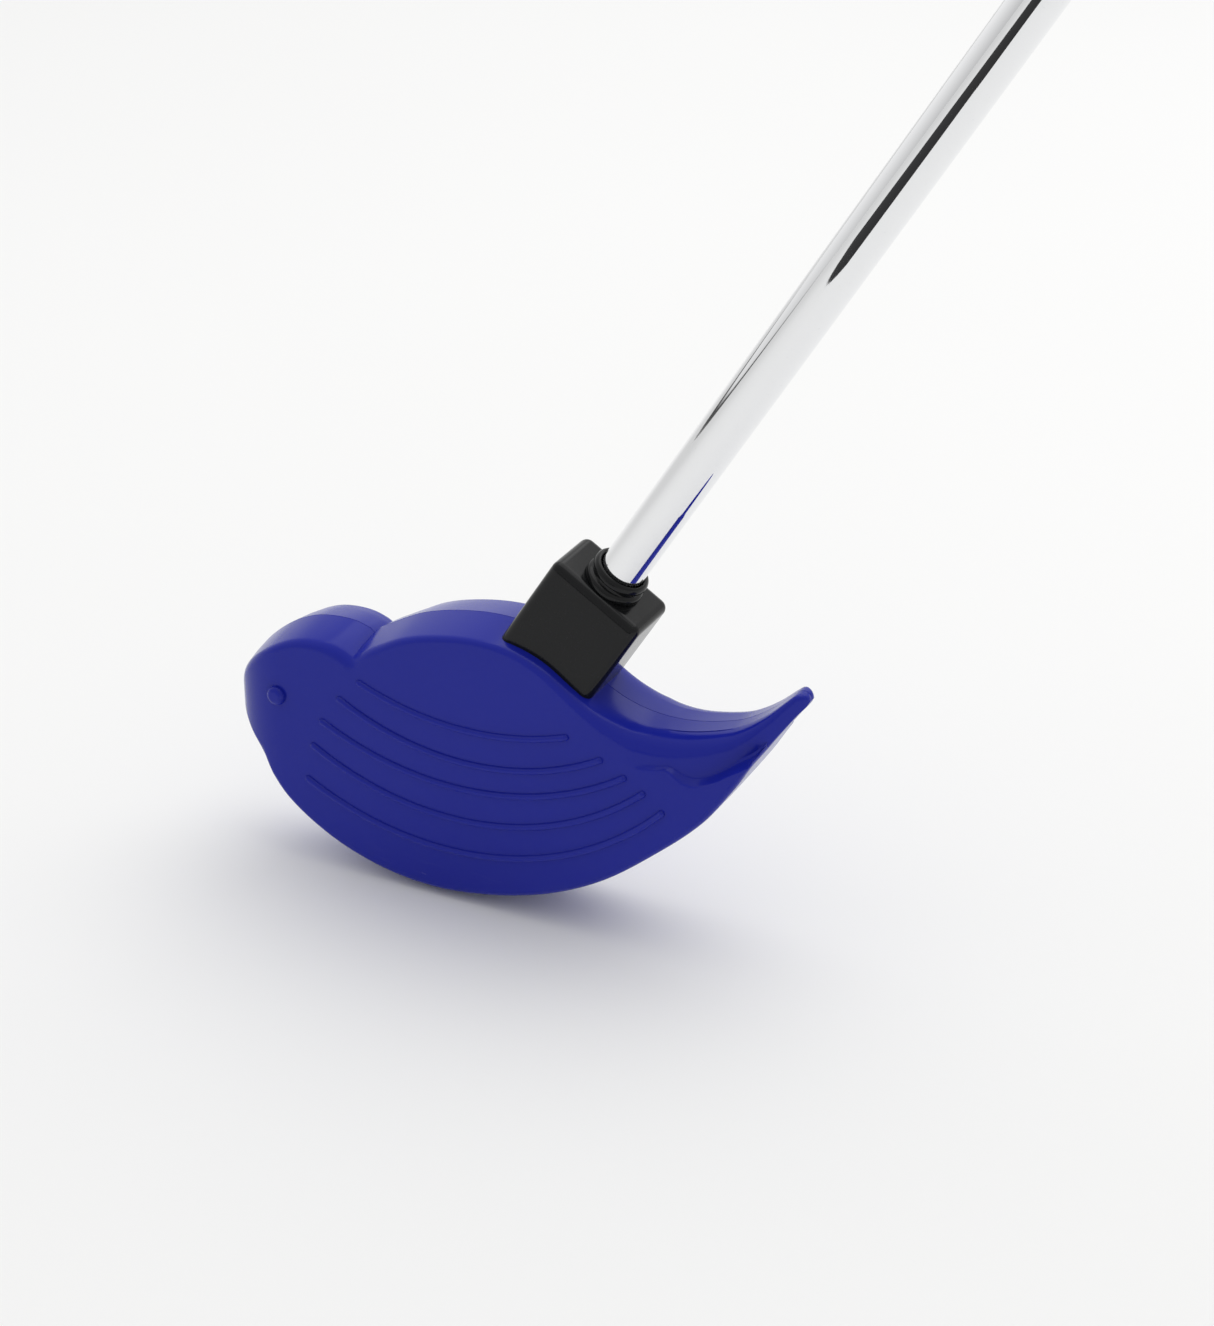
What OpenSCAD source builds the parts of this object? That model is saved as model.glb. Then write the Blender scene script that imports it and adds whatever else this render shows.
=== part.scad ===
// Bird-shaped two-way mini-golf putter.
// Frame: the origin is where the shaft's axis meets the top of the socket block. +X runs along the head from
// beak to tail, +Z is up with the club at address, and the head's middle plane is y = 0.

/* [Head] */
// Thickness of the head from face to face
head_t = 21; // [19:0.5:24]
// Round on the edge of each face
edge_r = 1.5; // [0.8:0.1:2]
// How far the side wall bulges at the parting line
crown = 1.4; // [0.4:0.1:1.8]
// Wall of the two moulded shells
shell_wall = 2.5; // [2:0.1:3]
// Width of each raised feather rib
rib_w = 1.6; // [1:0.1:2]
// How far the feather ribs stand out of the face
rib_h = 0.75; // [0.3:0.05:0.8]
// Diameter of the round eye stud
eye_d = 4.4; // [3:0.1:5]

/* [Socket block] */
// Width of the block along the head
block_w = 22.4; // [20:0.1:24]
// Depth of the block from front to back at its top
block_d = 15.2; // [14:0.1:16]
// Outside diameter of the ringed ferrule
ferrule_d = 12.6; // [12:0.1:13]
// How far the ferrule stands out of the block
ferrule_h = 4.6; // [3.5:0.1:6]

/* [Shaft] */
// Lean of the shaft from upright, towards the tail
shaft_lean = 32.3; // [20:0.1:35]
// Diameter of the shaft's parallel tip
tip_d = 9.4; // [9.4]
// Wall of the shaft tube
shaft_wall = 0.8; // [0.5:0.05:1]
// Length of the parallel tip above the block
parallel_l = 230; // [180:5:300]
// Number of steps between the parallel tip and the butt
step_count = 12; // [6:1:14]
// Distance from one step to the next
step_pitch = 35; // [25:1:38]
// Growth in diameter at each step
step_d = 0.44; // [0.3:0.02:0.5]
// Distance from the block's top to the butt end of the tube
butt_s = 768; // [720:1:790]

/* [Grip] */
// Length of the rubber grip
grip_l = 258; // [220:1:270]
// Diameter of the grip at its mouth
grip_mouth_d = 19.5; // [18.5:0.1:21]
// Diameter of the grip at its butt
grip_butt_d = 27; // [25:0.5:30]

/* [Hidden] */

half_t = head_t / 2;
tip_r = tip_d / 2;
blue = [0.12, 0.13, 0.55];
black = [0.10, 0.10, 0.11];

// The head's upper edge, from beak to tail tip, as x and z along the wall
top_line = [[-88.5, -43.6], [-88.2, -41.2], [-87, -38.2], [-84.6, -34.6], [-81, -30.8], [-75.5, -26.7],
            [-70, -24.2], [-65, -23.4], [-61, -23.5], [-58, -24.4], [-56.4, -25.3], [-55.5, -24.7],
            [-54, -23.5], [-51.4, -21.9], [-43.8, -17.9], [-35, -15.4], [-26, -14.3], [-18.7, -14.9],
            [-11.8, -17.3], [-5, -21.7], [-1, -24.1], [3.4, -26], [8.2, -27.2], [14, -27.6],
            [20.3, -26.9], [28.2, -24.7], [32, -22.7], [36, -19.7], [39.4, -16.5], [41, -15],
            [41.8, -14.6], [42.8, -14.6], [43.6, -15.2], [43.9, -16]];
// The head's lower edge over the same stretch
bottom_line = [[-88.5, -43.8], [-88.2, -45.6], [-86.9, -47.5], [-85, -49.4], [-83.1, -51.2], [-81.3, -52.8],
               [-80, -54.4], [-79.1, -56.2], [-77.8, -58.6], [-73.6, -63.6], [-67, -68.5], [-59, -72.5],
               [-49, -75.4], [-38, -76.4], [-28.2, -75.5], [-18.5, -73.4], [-8.2, -69.8], [2.6, -63.9],
               [12.9, -55.8], [24.5, -44.9], [31.8, -34.8], [35.4, -28.8], [38.4, -24.2], [42, -19],
               [43.4, -17.2], [43.9, -16.2]];
// The round on the upper edge along the head, broad at the neck and on the tail
top_round = [[-88.5, 1.5], [-76, 1.8], [-66, 2.4], [-58, 3.2], [-51, 2.2], [-38, 1.6], [-16, 1.6],
             [-5, 2.2], [3, 3.4], [10, 4.4], [20, 4.6], [29, 3.6], [37, 2], [43.9, 1]];
// Share of the crown along the upper and the lower edge: both walls run flat on the tail
top_crown = [[-88.5, 1], [-16, 1], [4, 0.35], [43.9, 0.25]];
low_crown = [[-88.5, 1], [4, 1], [24, 0.1], [43.9, 0.1]];
// Half thickness of the tail, as a share of the whole
tail_share = [[9, 1], [11, 0.965], [14, 0.925], [18, 0.88], [22, 0.835], [26, 0.775], [30, 0.7], [33, 0.63],
              [36, 0.54], [38.5, 0.46], [40.5, 0.36], [42.2, 0.26], [43.3, 0.17], [43.9, 0.1]];
beak_x = top_line[0][0];
tip_x = top_line[len(top_line) - 1][0];
// Where the head starts to narrow in plan towards the beak and towards the tail tip
beak_narrow_x = -74;
tail_narrow_x = tail_share[0][0];
beak_power = 2.2;
// The least half thickness, at the beak's and tail's very ends
end_t = 0.8;

// Stations along the head, close together at both rounded ends
end_steps = 6;
beak_zone = 6;
tip_zone = 4;
station_pitch = 2.6;
stations = concat([for (k = [0:end_steps - 1]) beak_x + beak_zone * pow(k / end_steps, 2)],
                  [for (x = [beak_x + beak_zone:station_pitch:tip_x - tip_zone - 1]) x],
                  [for (k = [end_steps:-1:0]) tip_x - tip_zone * pow(k / end_steps, 2)]);

// A smooth curve through a list of points, read at x
function span(p, x, i = 0) = i >= len(p) - 2 || x < p[i + 1][0] ? i : span(p, x, i + 1);
function rise(p, i) =
    let (a = max(i - 1, 0), b = min(i + 1, len(p) - 1))
    (p[b][1] - p[a][1]) / (p[b][0] - p[a][0]);
function at_x(p, x) =
    let (i = span(p, x), w = p[i + 1][0] - p[i][0], t = (x - p[i][0]) / w)
    (1 + 2 * t) * pow(1 - t, 2) * p[i][1] + t * pow(1 - t, 2) * w * rise(p, i)
    + t * t * (3 - 2 * t) * p[i + 1][1] - t * t * (1 - t) * w * rise(p, i + 1);

// Half thickness of the head in plan: full in the middle, rounded to the beak and drawn in to the tail
function shrink(u, n) = u <= 0 ? 1 : sqrt(max(0, 1 - pow(min(u, 1), n)));
function half_t_at(x) =
    max(end_t, half_t * min(shrink((beak_narrow_x - x) / (beak_narrow_x - beak_x), beak_power),
                            x < tail_narrow_x ? 1 : at_x(tail_share, x)));

// Half of the head's cross-section at x, from the parting line on top round to the one below
round_steps = 3;
// Where the head is lower than this its crown fades out
crown_fade = 12;
function section(x, side) =
    let (t = half_t_at(x), zt = at_x(top_line, x), zb = at_x(bottom_line, x), high = zt - zb,
         r = min(edge_r, t / 2, high / 3), big = min(at_x(top_round, x), t / 2, high / 3),
         c = crown * t / half_t * min(1, high / crown_fade))
    concat([[x, 0, zt + c * at_x(top_crown, x)]],
           [for (k = [0:round_steps]) let (a = 90 * k / round_steps)
               [x, side * (t - big + big * sin(a)), zt - big * (1 - cos(a))]],
           [for (k = [round_steps:-1:0]) let (a = 90 * k / round_steps)
               [x, side * (t - r + r * sin(a)), zb + r * (1 - cos(a))]],
           [[x, 0, zb - c * at_x(low_crown, x)]]);

// The solid between a row of cross-sections
module loft(rows, flip) {
    m = len(rows[0]);
    n = len(rows);
    quads = [for (i = [0:n - 2], j = [0:m - 1])
        let (k = (j + 1) % m) [i * m + j, (i + 1) * m + j, (i + 1) * m + k, i * m + k]];
    tris = concat([for (q = quads) [q[0], q[1], q[2]]], [for (q = quads) [q[0], q[2], q[3]]],
                  [[for (j = [0:m - 1]) j]], [[for (j = [m - 1:-1:0]) (n - 1) * m + j]]);
    faces = flip ? [for (f = tris) [for (k = [len(f) - 1:-1:0]) f[k]]] : tris;
    polyhedron(points = [for (row = rows, p = row) p], faces = faces);
}

// A plate with an outline in x and z, standing on the middle plane on one side of it
module plate(outline, y0, y1) {
    rotate([90, 0, 0])
        translate([0, 0, -y1])
            linear_extrude(y1 - y0)
                polygon(outline);
}

// The belly keeps its full thickness in front of the narrower tail, up to this rim
rim_line = [[9, -30.6], [14, -31.4], [17.5, -33.4], [20, -35.4], [23, -35.9], [27, -34.2], [31, -31.3],
            [35.8, -27.6]];
rim_end_x = 35.6;
rim_pitch = 2.2;
module belly_rim(side) {
    low = [for (x = [rim_end_x:-rim_pitch:rim_line[0][0]]) [x, at_x(bottom_line, x)]];
    y = side * (half_t - 0.01);
    plate(concat(rim_line, low), min(0, y), max(0, y));
}

// The hollow inside both shells, clear of the beak and of the tail
cavity_x0 = -73;
cavity_x1 = 16;
cavity_pitch = 3.56;
cavity_y = half_t - shell_wall;
slack = 0.5;
function slant(p, x) = sqrt(1 + pow(at_x(p, x + 0.5) - at_x(p, x - 0.5), 2));
module cavity() {
    xs = [for (x = [cavity_x0:cavity_pitch:cavity_x1]) x];
    gap = shell_wall + 1;
    top = [for (x = xs) [x, at_x(top_line, x) - gap * slant(top_line, x)]];
    low = [for (i = [len(xs) - 1:-1:0]) [xs[i], at_x(bottom_line, xs[i]) + gap * slant(bottom_line, xs[i])]];
    plate(concat(top, low), -cavity_y, cavity_y);
}

// Everything on the shaft is drawn upright and then leaned over
module on_shaft() {
    rotate([0, shaft_lean, 0])
        children();
}

// The tip of the shaft goes through the block and down into a split socket in the head
tip_s = -44;
socket_r = cavity_y + 0.3;
fit_gap = 0.05;
pin_s = -34;
pin_r = 2;
// The socket is a round boss cut off inside this box
boss_h = 30;
boss_x = [-45, 15];
boss_z = [-50, -17];

module head_socket() {
    intersection() {
        on_shaft()
            translate([0, 0, tip_s - 3])
                cylinder(r = socket_r, h = boss_h, $fn = 64);
        translate([boss_x[0], -cavity_y - slack, boss_z[0]])
            cube([boss_x[1] - boss_x[0], 2 * cavity_y + 2 * slack, boss_z[1] - boss_z[0]]);
    }
}

// Pegs that locate the ballast bar and the two halves of the head
bar_x = [-64, 2];
bar_z = -60.5;
bar_h = 9;
bar_t = 12;
peg_r = 2.2;
peg_wall = 2;
bar_gap = 0.3;
pegs = [[-52, -60.5], [-12, -60.5], [-70, -40], [-44, -27.5], [8, -41]];

module pegs_at(r, y0, y1) {
    for (p = pegs)
        translate([p[0], y1, p[1]])
            rotate([90, 0, 0])
                cylinder(r = r, h = y1 - y0, $fn = 32);
}

// One circular arc rib, from its two ends and how far it sags between them
feathers = [[[-54.2, -30.6], [-5.6, -31.6], 4.6],
            [[-59.3, -35.6], [2.2, -35.0], 8.2],
            [[-63.8, -42.0], [7.6, -37.8], 9.9],
            [[-66.3, -48.4], [11.9, -40.4], 12.9],
            [[-68.0, -56.9], [16.2, -43.8], 14.5]];
module feather(f, side) {
    a = f[0];
    b = f[1];
    half = norm(b - a) / 2;
    r = (half * half + f[2] * f[2]) / (2 * f[2]);
    tilt = atan2(b[1] - a[1], b[0] - a[0]);
    mid = (a + b) / 2;
    centre = mid + (r - f[2]) * [-sin(tilt), cos(tilt)];
    open = asin(half / r);
    translate([centre[0], side * half_t, centre[1]])
        rotate([90, 0, 0]) {
            rotate([0, 0, tilt - 90 - open])
                rotate_extrude(angle = 2 * open, $fn = 180)
                    translate([r - rib_w / 2, -rib_h])
                        square([rib_w, 2 * rib_h]);
            // The rounded ends are a little narrower than the rib, so that no faces touch edge to edge
            for (s = [-1, 1])
                rotate([0, 0, tilt - 90 + s * open])
                    translate([r, 0, -rib_h])
                        cylinder(d = rib_w - 0.2, h = 2 * rib_h - 0.1, $fn = 24);
        }
}

eye_at = [-74.9, -38.3];
eye_h = 1.6;
module eye_stud(side) {
    ball_r = (pow(eye_d / 2, 2) + eye_h * eye_h) / (2 * eye_h);
    y = side * (half_t_at(eye_at[0]) - 0.2);
    intersection() {
        translate([eye_at[0], y - side * (ball_r - eye_h), eye_at[1]])
            sphere(r = ball_r, $fn = 48);
        translate([eye_at[0], y + side * eye_h, eye_at[1]])
            rotate([90, 0, 0])
                cylinder(d = eye_d, h = 4 * eye_h, center = true, $fn = 48);
    }
}

// Half of the head, with its ribs, eye, pegs and its half of the shaft socket
module head_half(side) {
    difference() {
        union() {
            difference() {
                union() {
                    loft([for (x = stations) section(x, side)], side > 0);
                    belly_rim(side);
                }
                cavity();
            }
            intersection() {
                union() {
                    head_socket();
                    pegs_at(peg_r + peg_wall, -cavity_y - slack, cavity_y + slack);
                }
                translate([cavity_x0, side > 0 ? 0 : -cavity_y - slack, -80])
                    cube([100, cavity_y + slack, 80]);
            }
            for (f = feathers)
                feather(f, side);
            eye_stud(side);
        }
        on_shaft() {
            translate([0, 0, tip_s - 0.2])
                cylinder(r = tip_r + fit_gap, h = 60, $fn = 64);
            translate([0, cavity_y + 0.6, pin_s])
                rotate([90, 0, 0])
                    cylinder(r = pin_r, h = 2 * cavity_y + 1.2, $fn = 32);
        }
        bar_pocket();
        foot_cut();
        if (side > 0)
            pegs_at(peg_r + fit_gap, -1, cavity_y - 1.5);
    }
    if (side < 0)
        pegs_at(peg_r, -cavity_y, cavity_y - 2);
}

// The ballast bar rests on the belly between the two halves
module bar_pocket() {
    translate([bar_x[0] - bar_gap, -bar_t / 2 - bar_gap, bar_z - bar_h / 2 - bar_gap])
        cube([bar_x[1] - bar_x[0] + 2 * bar_gap, bar_t + 2 * bar_gap, bar_h + 2 * bar_gap]);
}

module ballast_bar() {
    color([0.45, 0.45, 0.47])
        difference() {
            translate([bar_x[0], -bar_t / 2, bar_z - bar_h / 2])
                cube([bar_x[1] - bar_x[0], bar_t, bar_h]);
            for (p = [pegs[0], pegs[1]])
                translate([p[0], bar_t, p[1]])
                    rotate([90, 0, 0])
                        cylinder(r = peg_r + 0.1, h = 2 * bar_t, $fn = 32);
        }
}

// The block's foot is scooped to sit on the head's back
foot_arc = [[-24, -15.9], [-17, -16.2], [-11.8, -17.7], [-7, -20.6], [-2, -24.6], [1, -27.4]];
block_l = 32;
// The block grows a little deeper towards its foot
block_draft = 0.5;
key_d = 9.6;
key_w = 16;
key_s = -27;
module block_body(grow) {
    top = block_d / 2 + grow;
    foot = top + block_draft;
    on_shaft()
        rotate([90, 0, 90])
            translate([0, 0, -block_w / 2 - grow])
                linear_extrude(block_w + 2 * grow)
                    polygon([[-foot, -block_l], [foot, -block_l], [top, 0], [-top, 0]]);
}

module under_foot() {
    plate(concat(foot_arc, [[1, -60], [-40, -60], [-40, -15.9]]), -20, 20);
}

// The head's back is cut where the block's foot sinks into it
module foot_cut() {
    difference() {
        block_body(0);
        under_foot();
    }
    on_shaft()
        translate([-key_w / 2, -key_d / 2, key_s])
            cube([key_w, key_d, 20]);
}

module socket_block() {
    color(black)
        difference() {
            union() {
                difference() {
                    block_body(-0.01);
                    under_foot();
                }
                on_shaft()
                    translate([-key_w / 2 + 0.1, -key_d / 2 + 0.1, key_s + 0.1])
                        cube([key_w - 0.2, key_d - 0.2, 12]);
            }
            on_shaft() {
                translate([0, 0, -40])
                    cylinder(r = tip_r + fit_gap, h = 50, $fn = 64);
                translate([0, 0, -spigot_l])
                    cylinder(r = spigot_r, h = spigot_l + 1, $fn = 64);
            }
        }
}

// A ringed ferrule with a spigot that is pushed into the block
spigot_r = 5.6;
spigot_l = 4;
ring_gap = 1.1;
module ferrule() {
    r = ferrule_d / 2;
    bore = tip_r + fit_gap;
    color(black)
        on_shaft()
            rotate_extrude($fn = 64)
                polygon([[bore, -spigot_l + 0.1], [spigot_r, -spigot_l + 0.1], [spigot_r, 0], [r, 0],
                         [r + 0.1, 0.9], [r - 0.3, 1.5], [r - 0.7, 1.5 + ring_gap / 2],
                         [r - 0.7, 1.5 + ring_gap], [r - 0.2, 1.9 + ring_gap], [r - 0.3, ferrule_h - 0.8],
                         [r - 0.9, ferrule_h - 0.2], [bore + 0.5, ferrule_h - 0.3],
                         [bore, ferrule_h - 0.9]]);
}

// Outer radius of the tube at each step, from the tip up
function shaft_r(k) = tip_r + k * step_d / 2;
step_len = 1.2;
shaft_profile = concat([[tip_r, tip_s]],
                       [for (k = [1:step_count]) let (s = parallel_l + (k - 1) * step_pitch)
                           each [[shaft_r(k - 1), s], [shaft_r(k), s + step_len]]],
                       [[shaft_r(step_count), butt_s]]);
module shaft_tube() {
    inner = [for (i = [len(shaft_profile) - 1:-1:0]) [shaft_profile[i][0] - shaft_wall, shaft_profile[i][1]]];
    color([0.85, 0.86, 0.88])
        difference() {
            on_shaft()
                rotate_extrude($fn = 96)
                    polygon(concat(shaft_profile, inner));
            on_shaft()
                translate([0, 20, pin_s])
                    rotate([90, 0, 0])
                        cylinder(r = pin_r, h = 40, $fn = 32);
        }
}

// A plug that keeps the glue out of the tube
plug_l = 8;
module tip_plug() {
    color([0.75, 0.72, 0.6])
        on_shaft()
            translate([0, 0, tip_s])
                cylinder(r = tip_r - shaft_wall, h = plug_l - 0.5, $fn = 48);
}

// The pin that ties the shaft to both halves of the head
module cross_pin() {
    color([0.6, 0.6, 0.62])
        on_shaft()
            translate([0, cavity_y + 0.4, pin_s])
                rotate([90, 0, 0])
                    cylinder(r = pin_r, h = 2 * cavity_y + 0.8, $fn = 32);
}

// Tape under the grip, and the grip itself
butt_r = shaft_r(step_count);
tape_t = 0.2;
grip_s = butt_s - grip_l;
function tube_r(s) =
    s < parallel_l ? tip_r : shaft_r(min(step_count, 1 + floor((s - parallel_l) / step_pitch)));
tape_profile = concat([[tube_r(grip_s) + tape_t, grip_s + 4]],
                      [for (k = [1:step_count]) let (s = parallel_l + (k - 1) * step_pitch)
                          if (s > grip_s + 4)
                              each [[shaft_r(k - 1) + tape_t, s], [shaft_r(k) + tape_t, s + step_len]]],
                      [[butt_r + tape_t, butt_s]]);
function pull_in(profile, d) = [for (i = [len(profile) - 1:-1:0]) [profile[i][0] - d, profile[i][1]]];

module grip_tape() {
    color([0.9, 0.88, 0.8])
        on_shaft()
            rotate_extrude($fn = 64)
                polygon(concat(tape_profile, pull_in(tape_profile, tape_t)));
}

// Grooves round the lower end of the grip
ring_count = 5;
ring_pitch = 4;
ring_depth = 0.6;
ring_half = 0.9;
module grip_sleeve() {
    mouth_r = grip_mouth_d / 2;
    big_r = grip_butt_d / 2;
    rings = [for (k = [ring_count:-1:1]) let (s = grip_s + 4 + k * ring_pitch, r = mouth_r + 0.05 * k)
                each [[r, s + ring_half], [r - ring_depth, s], [r, s - ring_half]]];
    outer = concat([[big_r, butt_s], [big_r, butt_s - 6], [big_r - 0.6, butt_s - 40],
                    [mouth_r + 1.2, grip_s + 40]],
                   rings, [[mouth_r, grip_s + 4], [mouth_r - 0.8, grip_s]]);
    bore = [[tube_r(grip_s) + 0.02, grip_s], [tube_r(grip_s) + 0.02, grip_s + 4], tape_profile[0]];
    color([0.08, 0.08, 0.085])
        difference() {
            on_shaft()
                rotate_extrude($fn = 96)
                    polygon(concat(outer, bore, [for (i = [1:len(tape_profile) - 1]) tape_profile[i]]));
            // The thumb flat along the front of the grip
            on_shaft()
                thumb_cut(grip_s + flat_start, grip_l);
        }
}

cap_h = 5;
thumb_flat = 1.6;
flat_start = 60;
module thumb_cut(s, l) {
    translate([-30, -30 - grip_butt_d / 2 + thumb_flat, s])
        cube([60, 30, l]);
}

cap_plug_l = 14;
vent_r = 1.5;
module grip_cap() {
    big_r = grip_butt_d / 2;
    plug_r = butt_r - shaft_wall;
    color([0.07, 0.07, 0.075])
        difference() {
            on_shaft()
                rotate_extrude($fn = 96)
                    polygon([[vent_r, butt_s - cap_plug_l], [plug_r, butt_s - cap_plug_l], [plug_r, butt_s],
                             [big_r, butt_s], [big_r, butt_s + cap_h - 2],
                             [big_r - 0.6, butt_s + cap_h - 0.6], [big_r - 2, butt_s + cap_h],
                             [vent_r, butt_s + cap_h]]);
            on_shaft()
                thumb_cut(butt_s - 0.01, cap_h + 1);
        }
}

module head_front_shell() {
    color(blue)
        head_half(-1);
}

module head_rear_shell() {
    color(blue)
        head_half(1);
}

head_front_shell();
head_rear_shell();
ballast_bar();
socket_block();
ferrule();
shaft_tube();
tip_plug();
cross_pin();
grip_tape();
grip_sleeve();
grip_cap();
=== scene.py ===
# %% [markdown]
# # A bird-shaped mini-golf putter
# The real club is a hollow head moulded in two halves, a block on its back that takes the shaft, a ringed ferrule,
# a chrome-plated steel tube and a rubber grip. The measured solids come first, as a frame that stays as it is. New
# pieces with rounder edges and finer detail are then built over the ones that show.

# %% Load the measured part
from math import asin, atan2, cos, hypot, pi, radians, sin, sqrt

import bmesh
import bpy
from mathutils import Matrix, Vector


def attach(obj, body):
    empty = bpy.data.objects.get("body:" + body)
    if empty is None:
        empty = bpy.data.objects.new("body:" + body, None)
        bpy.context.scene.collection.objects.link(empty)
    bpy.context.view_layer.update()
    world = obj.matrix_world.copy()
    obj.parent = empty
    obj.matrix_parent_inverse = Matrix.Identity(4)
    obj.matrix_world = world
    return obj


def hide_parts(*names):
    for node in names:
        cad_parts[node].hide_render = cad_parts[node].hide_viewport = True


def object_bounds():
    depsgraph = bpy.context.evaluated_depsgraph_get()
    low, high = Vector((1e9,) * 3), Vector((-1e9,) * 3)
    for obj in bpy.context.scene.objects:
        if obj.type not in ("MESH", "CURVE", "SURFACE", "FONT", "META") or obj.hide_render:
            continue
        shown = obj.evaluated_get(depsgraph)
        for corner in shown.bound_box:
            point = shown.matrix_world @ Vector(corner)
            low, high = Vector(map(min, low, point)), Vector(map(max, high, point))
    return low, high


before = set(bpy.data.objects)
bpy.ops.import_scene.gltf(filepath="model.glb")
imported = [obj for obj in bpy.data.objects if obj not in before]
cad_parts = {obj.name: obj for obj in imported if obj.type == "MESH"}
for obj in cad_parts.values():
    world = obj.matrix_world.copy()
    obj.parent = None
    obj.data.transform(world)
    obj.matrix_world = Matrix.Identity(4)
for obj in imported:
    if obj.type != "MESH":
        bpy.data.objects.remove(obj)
cad_box = [list(corner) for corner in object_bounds()]
print("measured part, metres:", cad_box)

# %% [markdown]
# ## Working by hand, from a script
# Each operator acts on what is selected. So these helpers select one object, open it in edit mode with everything
# picked, close it again with its normals put right, and apply its transforms, a modifier or a Boolean.

# %% Selecting and editing
MM = 0.001


def only(obj):
    bpy.ops.object.select_all(action="DESELECT")
    obj.select_set(True)
    bpy.context.view_layer.objects.active = obj


def edit(obj):
    only(obj)
    bpy.ops.object.mode_set(mode="EDIT")
    bpy.ops.mesh.select_mode(type="VERT")
    bpy.ops.mesh.select_all(action="SELECT")


def finish_edit(obj):
    bpy.ops.mesh.select_mode(type="VERT")
    bpy.ops.mesh.select_all(action="SELECT")
    bpy.ops.mesh.remove_doubles(threshold=1e-7)
    bpy.ops.mesh.normals_make_consistent(inside=False)
    bpy.ops.object.mode_set(mode="OBJECT")
    return obj


def settle(obj):
    only(obj)
    bpy.ops.object.transform_apply(location=True, rotation=True, scale=True)
    return obj


def apply(obj, kind, **settings):
    """Adds one modifier with these settings and applies it."""
    only(obj)
    made = obj.modifiers.new(kind.lower(), kind)
    for key, value in settings.items():
        setattr(made, key, value)
    bpy.ops.object.modifier_apply(modifier=made.name)
    return obj


def combine(obj, tool, operation, overlaps=False):
    """Adds a tool's solid to a piece, or cuts the piece with it, and throws the tool away."""
    apply(obj, "BOOLEAN", operation=operation, object=tool, solver="EXACT", use_self=overlaps)
    bpy.data.objects.remove(tool)
    return obj


def gather(parts):
    """Puts several pieces into one object, as they are."""
    only(parts[0])
    for part in parts:
        part.select_set(True)
    bpy.ops.object.join()
    return parts[0]


# %% [markdown]
# ## The slanted axis of the shaft
# The block, ferrule, shaft and grip all share one axis that leans from the origin towards the tail. Each is built
# upright, where its sizes are easy to read, and leaned over about the origin at the end.

# %% Lean a finished piece over
LEAN = radians(32.3)


def lean(obj):
    only(obj)
    obj.rotation_euler = (0, LEAN, 0)
    return settle(obj)


# %% [markdown]
# ## Tracing an outline
# A flat shape is drawn as a person would draw it: one vertex, extruded from point to point. The closed chain is
# then filled and extruded to a plate, or left open and spun round an axis.

# %% Trace a chain, make a plate, spin a profile
def trace(points):
    bpy.ops.object.select_all(action="DESELECT")
    bpy.ops.mesh.primitive_plane_add(size=MM, location=points[0])
    obj = settle(bpy.context.object)
    bpy.ops.object.mode_set(mode="EDIT")
    bpy.ops.mesh.select_mode(type="VERT")
    bpy.ops.mesh.select_all(action="SELECT")
    bpy.ops.mesh.merge(type="CENTER")
    for a, b in zip(points, points[1:]):
        step = Vector(b) - Vector(a)
        bpy.ops.mesh.extrude_region_move(TRANSFORM_OT_translate={"value": step})
    bpy.ops.mesh.select_all(action="SELECT")
    return obj


def plate(outline, y0, y1):
    """A plate from an outline in x and z, in mm, between two heights in y."""
    obj = trace([(x * MM, y0 * MM, z * MM) for x, z in outline])
    bpy.ops.mesh.edge_face_add()
    bpy.ops.mesh.extrude_region_move(TRANSFORM_OT_translate={"value": (0, (y1 - y0) * MM, 0)})
    return finish_edit(obj)


def turned(profile, steps):
    """A ring turned from a closed profile of radius and height, in mm, about the upright axis."""
    closed = list(profile) + [profile[0]]
    obj = trace([(r * MM, 0, s * MM) for r, s in closed])
    bpy.ops.mesh.spin(steps=steps, angle=2 * pi, center=(0, 0, 0), axis=(0, 0, 1))
    return finish_edit(obj)


def turned_pin(radius, s0, s1, place=(0, 0, 0), turn=(0, 0, 0)):
    bpy.ops.object.select_all(action="DESELECT")
    bpy.ops.mesh.primitive_cylinder_add(vertices=64, radius=radius * MM, depth=(s1 - s0) * MM,
                                        location=(0, 0, (s0 + s1) / 2 * MM))
    obj = settle(bpy.context.object)
    obj.rotation_euler = turn
    obj.location = [v * MM for v in place]
    return settle(obj)


def boxed(low, high):
    """A cube primitive scaled to two corners, in mm."""
    bpy.ops.object.select_all(action="DESELECT")
    centre = [(a + b) / 2 * MM for a, b in zip(low, high)]
    bpy.ops.mesh.primitive_cube_add(size=1, location=centre)
    obj = bpy.context.object
    obj.scale = [(b - a) * MM for a, b in zip(low, high)]
    return settle(obj)


# %% [markdown]
# ## The head's outline
# Seen from the side the head is a bird: a round head and blunt beak on the left, the arch of the back, a deep belly
# and a tail that sweeps up to a blunt tip. Its upper and lower edges are lists of points, in mm, read as smooth
# curves. So are the round of the upper edge, the crown of both edges and the thickness of the tail.

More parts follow.
